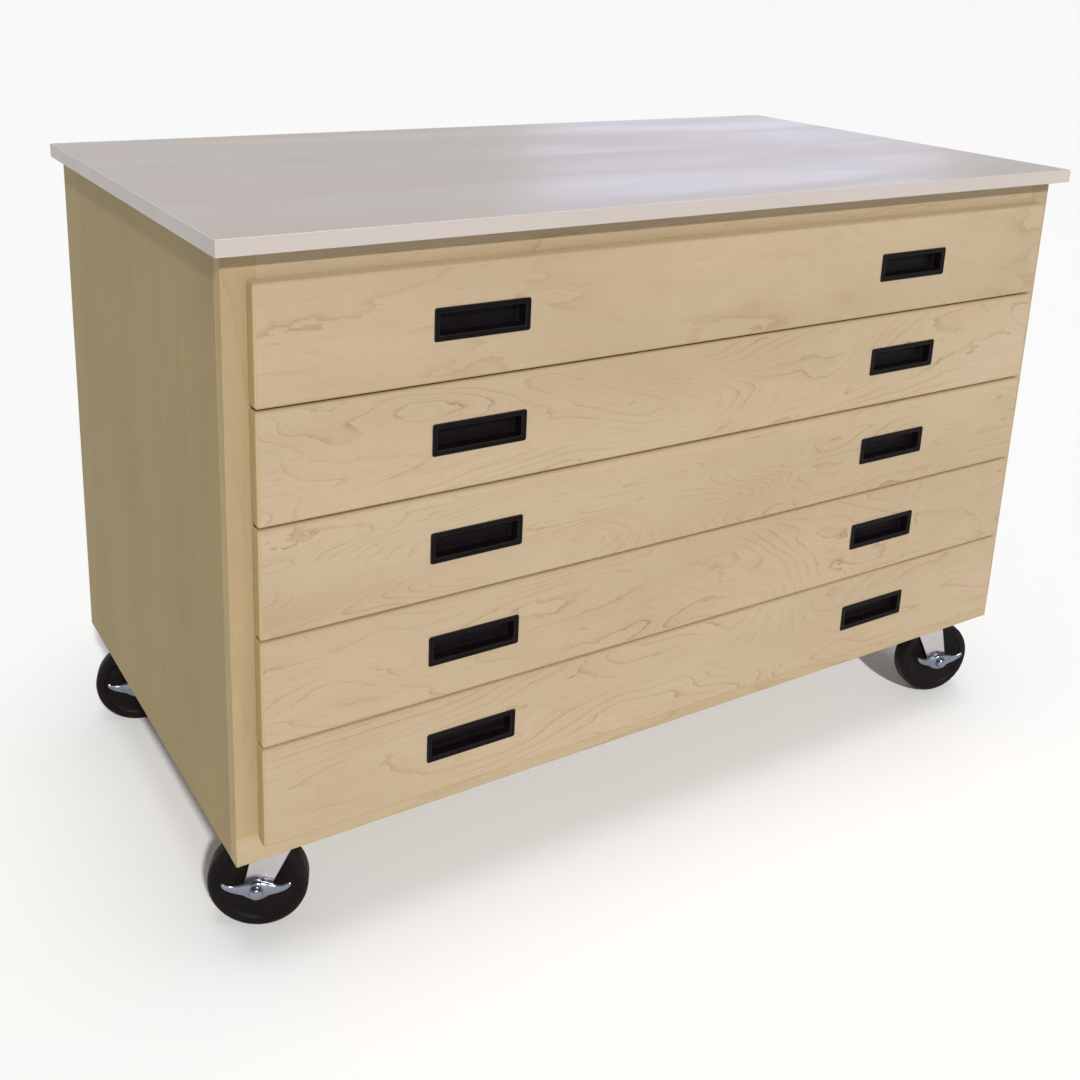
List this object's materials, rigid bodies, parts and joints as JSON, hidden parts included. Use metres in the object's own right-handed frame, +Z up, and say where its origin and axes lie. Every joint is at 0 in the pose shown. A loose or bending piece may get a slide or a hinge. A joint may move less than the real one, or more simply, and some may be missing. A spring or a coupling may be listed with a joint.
{
  "type": "flat file cabinet",
  "caption": "Mobile flat file cabinet in light maple with wide shallow drawers on ball-bearing slides, flush black pulls, a laminate worktop and swivel casters.",
  "frame": {"origin": "on the floor, under the middle of the worktop", "axes": "+X to the right along the width, +Y to the back, +Z up; the drawers open towards -Y"},
  "size_m": [1.3454, 0.712, 0.9154],
  "materials": {
    "maple": "satin lacquer",
    "birch_ply": "satin lacquer",
    "laminate": "fine matt texture",
    "pull_plastic": "semi-gloss moulded",
    "slide_steel": "zinc plated",
    "caster_steel": "zinc plated",
    "brake_steel": "polished",
    "wheel": "matt"
  },
  "bodies": {
    "cabinet": {"side_panel_left": "maple", "side_panel_right": "maple", "back_panel": "birch_ply", "bottom_panel": "birch_ply", "stiles": "maple", "top_rail": "maple", "bottom_rail": "maple", "rear_stretcher": "birch_ply", "slide_cleats": "birch_ply", "worktop_core": "birch_ply", "worktop_laminate": "laminate", "slide_cabinet_members": "slide_steel", "caster_plates": "caster_steel", "caster_bolts": "caster_steel"},
    "drawer_1": {"drawer_1_front": "maple", "drawer_1_box": "birch_ply", "drawer_1_bottom": "birch_ply", "drawer_1_pulls": "pull_plastic", "drawer_1_slides": "slide_steel"},
    "middle_1": {"slide_middle_1": "slide_steel"},
    "drawer_2": {"drawer_2_front": "maple", "drawer_2_box": "birch_ply", "drawer_2_bottom": "birch_ply", "drawer_2_pulls": "pull_plastic", "drawer_2_slides": "slide_steel"},
    "middle_2": {"slide_middle_2": "slide_steel"},
    "drawer_3": {"drawer_3_front": "maple", "drawer_3_box": "birch_ply", "drawer_3_bottom": "birch_ply", "drawer_3_pulls": "pull_plastic", "drawer_3_slides": "slide_steel"},
    "middle_3": {"slide_middle_3": "slide_steel"},
    "drawer_4": {"drawer_4_front": "maple", "drawer_4_box": "birch_ply", "drawer_4_bottom": "birch_ply", "drawer_4_pulls": "pull_plastic", "drawer_4_slides": "slide_steel"},
    "middle_4": {"slide_middle_4": "slide_steel"},
    "drawer_5": {"drawer_5_front": "maple", "drawer_5_box": "birch_ply", "drawer_5_bottom": "birch_ply", "drawer_5_pulls": "pull_plastic", "drawer_5_slides": "slide_steel"},
    "middle_5": {"slide_middle_5": "slide_steel"},
    "fork_fl": {"fork_fl": "caster_steel", "axle_fl": "caster_steel"},
    "wheel_fl": {"wheel_fl": "wheel"},
    "brake_fl": {"brake_lever_fl": "brake_steel"},
    "fork_fr": {"fork_fr": "caster_steel", "axle_fr": "caster_steel"},
    "wheel_fr": {"wheel_fr": "wheel"},
    "brake_fr": {"brake_lever_fr": "brake_steel"},
    "fork_bl": {"fork_bl": "caster_steel", "axle_bl": "caster_steel"},
    "wheel_bl": {"wheel_bl": "wheel"},
    "brake_bl": {"brake_lever_bl": "brake_steel"},
    "fork_br": {"fork_br": "caster_steel", "axle_br": "caster_steel"},
    "wheel_br": {"wheel_br": "wheel"},
    "brake_br": {"brake_lever_br": "brake_steel"}
  },
  "joints": [
    {"name": "drawer_1_slide", "type": "slide", "parent": "cabinet", "child": "drawer_1", "axis": [0, -1, 0], "range_m": [0, 0.6]},
    {"name": "middle_1_slide", "type": "slide", "parent": "cabinet", "child": "middle_1", "axis": [0, -1, 0], "range_m": [0, 0.3]},
    {"name": "drawer_2_slide", "type": "slide", "parent": "cabinet", "child": "drawer_2", "axis": [0, -1, 0], "range_m": [0, 0.6]},
    {"name": "middle_2_slide", "type": "slide", "parent": "cabinet", "child": "middle_2", "axis": [0, -1, 0], "range_m": [0, 0.3]},
    {"name": "drawer_3_slide", "type": "slide", "parent": "cabinet", "child": "drawer_3", "axis": [0, -1, 0], "range_m": [0, 0.6]},
    {"name": "middle_3_slide", "type": "slide", "parent": "cabinet", "child": "middle_3", "axis": [0, -1, 0], "range_m": [0, 0.3]},
    {"name": "drawer_4_slide", "type": "slide", "parent": "cabinet", "child": "drawer_4", "axis": [0, -1, 0], "range_m": [0, 0.6]},
    {"name": "middle_4_slide", "type": "slide", "parent": "cabinet", "child": "middle_4", "axis": [0, -1, 0], "range_m": [0, 0.3]},
    {"name": "drawer_5_slide", "type": "slide", "parent": "cabinet", "child": "drawer_5", "axis": [0, -1, 0], "range_m": [0, 0.6]},
    {"name": "middle_5_slide", "type": "slide", "parent": "cabinet", "child": "middle_5", "axis": [0, -1, 0], "range_m": [0, 0.3]},
    {"name": "swivel_fl", "type": "hinge", "parent": "cabinet", "child": "fork_fl", "pos_m": [-0.577, -0.265, 0.1424], "axis": [0, 0, 1], "continuous": true},
    {"name": "roll_fl", "type": "hinge", "parent": "fork_fl", "child": "wheel_fl", "pos_m": [-0.60462, -0.25093, 0.0635], "axis": [-0.454, -0.891, 0], "continuous": true},
    {"name": "brake_fl_turn", "type": "hinge", "parent": "fork_fl", "child": "brake_fl", "pos_m": [-0.60462, -0.25093, 0.0635], "axis": [-0.454, -0.891, 0], "range_deg": [0, 60]},
    {"name": "swivel_fr", "type": "hinge", "parent": "cabinet", "child": "fork_fr", "pos_m": [0.577, -0.265, 0.1424], "axis": [0, 0, 1], "continuous": true},
    {"name": "roll_fr", "type": "hinge", "parent": "fork_fr", "child": "wheel_fr", "pos_m": [0.60708, -0.2725, 0.0635], "axis": [0.2419, 0.9703, 0], "continuous": true},
    {"name": "brake_fr_turn", "type": "hinge", "parent": "fork_fr", "child": "brake_fr", "pos_m": [0.60708, -0.2725, 0.0635], "axis": [0.2419, 0.9703, 0], "range_deg": [0, 60]},
    {"name": "swivel_bl", "type": "hinge", "parent": "cabinet", "child": "fork_bl", "pos_m": [-0.577, 0.271, 0.1424], "axis": [0, 0, 1], "continuous": true},
    {"name": "roll_bl", "type": "hinge", "parent": "fork_bl", "child": "wheel_bl", "pos_m": [-0.60613, 0.2816, 0.0635], "axis": [-0.342, -0.9397, 0], "continuous": true},
    {"name": "brake_bl_turn", "type": "hinge", "parent": "fork_bl", "child": "brake_bl", "pos_m": [-0.60613, 0.2816, 0.0635], "axis": [-0.342, -0.9397, 0], "range_deg": [0, 60]},
    {"name": "swivel_br", "type": "hinge", "parent": "cabinet", "child": "fork_br", "pos_m": [0.577, 0.271, 0.1424], "axis": [0, 0, 1], "continuous": true},
    {"name": "roll_br", "type": "hinge", "parent": "fork_br", "child": "wheel_br", "pos_m": [0.60613, 0.2604, 0.0635], "axis": [0.342, 0.9397, 0], "continuous": true},
    {"name": "brake_br_turn", "type": "hinge", "parent": "fork_br", "child": "brake_br", "pos_m": [0.60613, 0.2604, 0.0635], "axis": [0.342, 0.9397, 0], "range_deg": [0, 60]}
  ],
  "couplings": [
    {"joint": "middle_1_slide", "follows": "drawer_1_slide", "ratio": 0.5},
    {"joint": "middle_2_slide", "follows": "drawer_2_slide", "ratio": 0.5},
    {"joint": "middle_3_slide", "follows": "drawer_3_slide", "ratio": 0.5},
    {"joint": "middle_4_slide", "follows": "drawer_4_slide", "ratio": 0.5},
    {"joint": "middle_5_slide", "follows": "drawer_5_slide", "ratio": 0.5}
  ]
}
